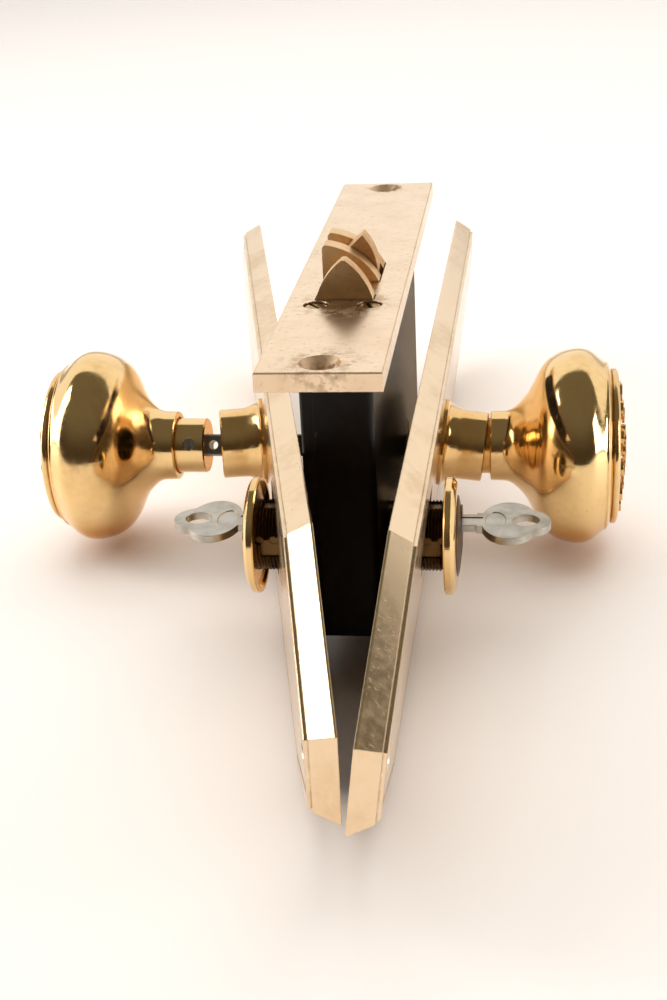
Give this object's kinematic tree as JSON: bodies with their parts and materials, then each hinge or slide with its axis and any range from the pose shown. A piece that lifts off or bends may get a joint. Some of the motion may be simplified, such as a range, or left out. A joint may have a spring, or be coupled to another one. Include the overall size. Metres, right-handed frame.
{
  "type": "mortise lock set with door knobs",
  "caption": "Mortise latch lock with round knobs on a square spindle, key cylinders with keys and long bevelled escutcheon plates, loosely assembled.",
  "frame": {"origin": "centre of the outer face of the lock front, midway between its two screw holes", "axes": "+Z out of the lock front, +X along the spindle towards the right-hand knob, +Y along the front away from the cylinders"},
  "size_m": [0.1909, 0.4064, 0.1164],
  "materials": {
    "front_brass": "worn satin brass with fine scratches",
    "japanned_iron": "glossy black japanning over iron",
    "dark_steel": "dull darkened steel",
    "old_brass_screw": "tarnished brass",
    "bolt_brass": "worn brown brass with polished edges",
    "plain_steel": "plain steel",
    "hub_bronze": "cast bronze, unpolished",
    "knob_brass": "polished brass, lightly tarnished",
    "cylinder_brass": "dark tarnished brass with bright thread crests",
    "ring_brass": "polished brass",
    "pin_brass": "plain brass",
    "pin_spring_steel": "plain steel",
    "key_nickel": "worn nickel over brass",
    "plate_brass": "polished brass, tarnished in the recesses"
  },
  "bodies": {
    "case": {"case_body": "japanned_iron", "case_cover": "japanned_iron", "cover_screws": "dark_steel", "faceplate": "front_brass", "cylinder_set_screws": "old_brass_screw", "latch_spring": "dark_steel", "guard_spring": "dark_steel", "left_cylinder_shell": "cylinder_brass", "left_cylinder_ring": "ring_brass", "left_driver_pins": "pin_brass", "left_pin_springs": "pin_spring_steel", "left_chamber_plugs": "pin_brass", "right_cylinder_shell": "cylinder_brass", "right_cylinder_ring": "ring_brass", "right_driver_pins": "pin_brass", "right_pin_springs": "pin_spring_steel", "right_chamber_plugs": "pin_brass"},
    "spindle_set": {"spindle": "plain_steel", "hub": "hub_bronze", "right_knob_shell": "knob_brass", "right_knob_medallion": "knob_brass", "right_knob_shank": "knob_brass", "right_set_screw": "dark_steel"},
    "left_knob": {"left_knob_shell": "knob_brass", "left_knob_medallion": "knob_brass", "left_knob_shank": "knob_brass", "left_set_screw": "dark_steel"},
    "latch": {"latch_bolt": "bolt_brass", "tongue_pin": "plain_steel"},
    "tongue": {"antifriction_tongue": "bolt_brass"},
    "guard": {"guard_bolt": "bolt_brass"},
    "left_plug_set": {"left_plug": "cylinder_brass", "left_bottom_pins": "pin_brass", "left_cam": "cylinder_brass", "left_cam_screws": "pin_spring_steel"},
    "right_plug_set": {"right_plug": "cylinder_brass", "right_bottom_pins": "pin_brass", "right_cam": "cylinder_brass", "right_cam_screws": "pin_spring_steel"},
    "left_key": {"left_key": "key_nickel"},
    "right_key": {"right_key": "key_nickel"},
    "left_plate": {"left_plate": "plate_brass", "left_thimble": "plate_brass"},
    "right_plate": {"right_plate": "plate_brass", "right_thimble": "plate_brass"}
  },
  "joints": [
    {"name": "knob_turn", "type": "hinge", "parent": "case", "child": "spindle_set", "pos_m": [0, 0.025, -0.07], "axis": [1, 0, 0], "range_deg": [0, 40]},
    {"name": "left_knob_slide", "type": "slide", "parent": "spindle_set", "child": "left_knob", "axis": [-1, 0, 0], "range_m": [-0.0008, 0.028]},
    {"name": "latch_slide", "type": "slide", "parent": "case", "child": "latch", "axis": [0, 0, -1], "range_m": [0, 0.011], "deforming": ["latch_spring"]},
    {"name": "tongue_swing", "type": "hinge", "parent": "latch", "child": "tongue", "pos_m": [-0.0015, -0.014, -0.0095], "axis": [0, 1, 0], "range_deg": [0, 6]},
    {"name": "guard_bolt_slide", "type": "slide", "parent": "case", "child": "guard", "axis": [0, 0, -1], "range_m": [0, 0.0104], "stiffness_N_per_m": 150, "springref_m": -0.004, "deforming": ["guard_spring"]},
    {"name": "left_plug_turn", "type": "hinge", "parent": "case", "child": "left_plug_set", "pos_m": [0, -0.0415, -0.0676], "axis": [-1, 0, 0], "range_deg": [0, 90]},
    {"name": "right_plug_turn", "type": "hinge", "parent": "case", "child": "right_plug_set", "pos_m": [0, -0.0415, -0.0676], "axis": [1, 0, 0], "range_deg": [0, 90]},
    {"name": "left_key_slide", "type": "slide", "parent": "left_plug_set", "child": "left_key", "axis": [-1, 0, 0], "range_m": [0, 0.027]},
    {"name": "right_key_slide", "type": "slide", "parent": "right_plug_set", "child": "right_key", "axis": [1, 0, 0], "range_m": [-0.0035, 0.0234]},
    {"name": "left_plate_swing", "type": "hinge", "parent": "case", "child": "left_plate", "pos_m": [-0.02568, -0.04129, -0.068], "axis": [0, 0, -1], "range_deg": [0, 11.5]},
    {"name": "right_plate_swing", "type": "hinge", "parent": "case", "child": "right_plate", "pos_m": [0.032, -0.00392, -0.05302], "axis": [-0.0043, -0.9975, 0.0712], "range_deg": [0, 7]}
  ],
  "couplings": [
    {"joint": "latch_slide", "follows": "knob_turn", "m_per_rad": 0.0157}
  ]
}
